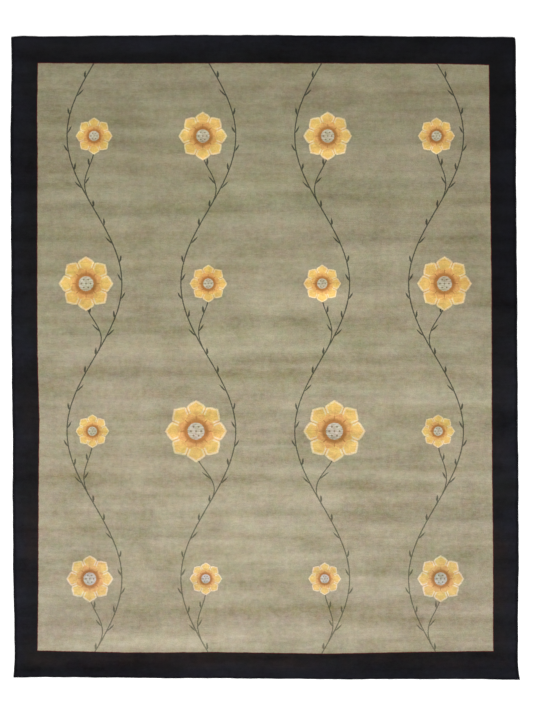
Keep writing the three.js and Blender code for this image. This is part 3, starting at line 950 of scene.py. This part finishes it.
# The hem stitches: each web is turned under and sewn to the back of the knots with cotton thread, in slanting
# whip stitches along its edge.
STITCHES = {"Pitch": 0.009, "Reach": 0.0075, "Slant": 0.0035, "Drop": 0.0012, "Thread Radius": 0.00042}
STITCH_STRAY = 0.12
SEAM_HEIGHT, SEAM_MARGIN, SEAM_POINTS = 0.0011, 0.012, 400
hem_thread, surface, place = new_look("hem_thread")
twist = cloudy(place, 2.0, (2600, 900), 1.0)["Fac"]
fill(surface, {"Base Color": mixed(twist, dye(196, 187, 162), dye(232, 226, 208)), "Roughness": 0.8})

stitching, given, result = node_group("whip stitches on a seam", "Geometry", {
    "Geometry": "Geometry", "Pitch": "Float", "Reach": "Float", "Slant": "Float", "Drop": "Float",
    "Thread Radius": "Float", "Seed": "Int", "Thread": "Material"}, {"Geometry": "Geometry"})
seam = resampled(given["Geometry"], given["Pitch"])
half_slant = calc("MULTIPLY", given["Slant"], 0.5)
start = joined(calc("MULTIPLY", half_slant, -1.0), calc("MULTIPLY", given["Reach"], -0.5),
               calc("MULTIPLY", given["Drop"], -0.5))
end = joined(half_slant, calc("MULTIPLY", given["Reach"], 0.5), calc("MULTIPLY", given["Drop"], 0.5))
middle = joined(0.0, 0.0, calc("MULTIPLY", given["Drop"], -0.9))
stitch = node(stitching, "GeometryNodeCurveQuadraticBezier", {
    "Resolution": 5, "Start": start, "Middle": middle, "End": end})[0]
strand = node(stitching, "GeometryNodeCurvePrimitiveCircle",
              {"Resolution": 5, "Radius": given["Thread Radius"]})[0]
stitch = node(stitching, "GeometryNodeCurveToMesh",
              {"Curve": stitch, "Profile Curve": strand, "Fill Caps": True})[0]
stray = by_chance((-STITCH_STRAY, -STITCH_STRAY, 0), (STITCH_STRAY, STITCH_STRAY, 0), given["Seed"])
ahead = vector_calc("ADD", node(stitching, "GeometryNodeInputTangent")[0], stray)
face = node(stitching, "FunctionNodeAxesToRotation", {"Primary Axis": (0, 0, 1), "Secondary Axis": ahead},
            primary_axis="Z", secondary_axis="X")[0]
seam = node(stitching, "GeometryNodeInstanceOnPoints",
            {"Points": seam, "Instance": stitch, "Rotation": face})[0]
fill(result, {"Geometry": realized(seam, given["Thread"])})
seam_run = np.linspace(SEAM_MARGIN, WIDTH - SEAM_MARGIN, SEAM_POINTS)
for seed, (name, run, at) in enumerate((("hem_stitches_near", seam_run, HEM_WIDTH + HEM_SEAM / 2),
                                        ("hem_stitches_far", seam_run[::-1],
                                         LENGTH - HEM_WIDTH - HEM_SEAM / 2))):
    seam_path = path_mesh(name, np.column_stack([in_plan(run, np.full(SEAM_POINTS, at)),
                                                 np.full(SEAM_POINTS, SEAM_HEIGHT)]))
    grown(name, seam_path, stitching, {**STITCHES, "Seed": seed + 11, "Thread": hem_thread})

# The floor and the light: a plain pale studio floor under even white light, with one broad soft lamp that
# hangs over the near half of the rug. The camera looks straight down.
floor_mesh = bpy.data.meshes.new("floor")
HALF_FLOOR = 60.0
floor_corners = [(-HALF_FLOOR, -HALF_FLOOR, 0), (HALF_FLOOR, -HALF_FLOOR, 0),
                 (HALF_FLOOR, HALF_FLOOR, 0), (-HALF_FLOOR, HALF_FLOOR, 0)]
floor_mesh.from_pydata(floor_corners, [], [(0, 1, 2, 3)])
floor = bpy.data.objects.new("floor", floor_mesh)
bpy.context.scene.collection.objects.link(floor)
pale = bpy.data.materials.new("pale_floor")
pale.use_nodes = True
fill(pale.node_tree.nodes["Principled BSDF"].inputs, {
    "Base Color": (0.88, 0.88, 0.88, 1), "Roughness": 0.8,
    "Emission Color": (1, 1, 1, 1), "Emission Strength": 0.3,
})
floor_mesh.materials.append(pale)

world = bpy.data.worlds.new("studio")
world.use_nodes = True
fill(world.node_tree.nodes["Background"].inputs, {"Color": (1, 1, 1, 1), "Strength": 0.76})
bpy.context.scene.world = world

lamp = bpy.data.lights.new("soft_box", "AREA")
lamp.shape = "RECTANGLE"
lamp.size, lamp.size_y = 2.6, 1.6
lamp.energy = 116
soft_box = bpy.data.objects.new("soft_box", lamp)
soft_box.location = (-0.1, -0.45, 3.5)
soft_box.visible_camera = False
bpy.context.scene.collection.objects.link(soft_box)

lens = bpy.data.cameras.new("camera")
lens.lens = 106.64
lens.sensor_width = 36
lens.clip_end = 100
camera = bpy.data.objects.new("camera", lens)
camera.location = (0.0059, 0.0090, 10)
bpy.context.scene.collection.objects.link(camera)
bpy.context.scene.camera = camera
bpy.context.scene.view_settings.view_transform = "Standard"
bpy.context.scene.view_settings.look = "None"
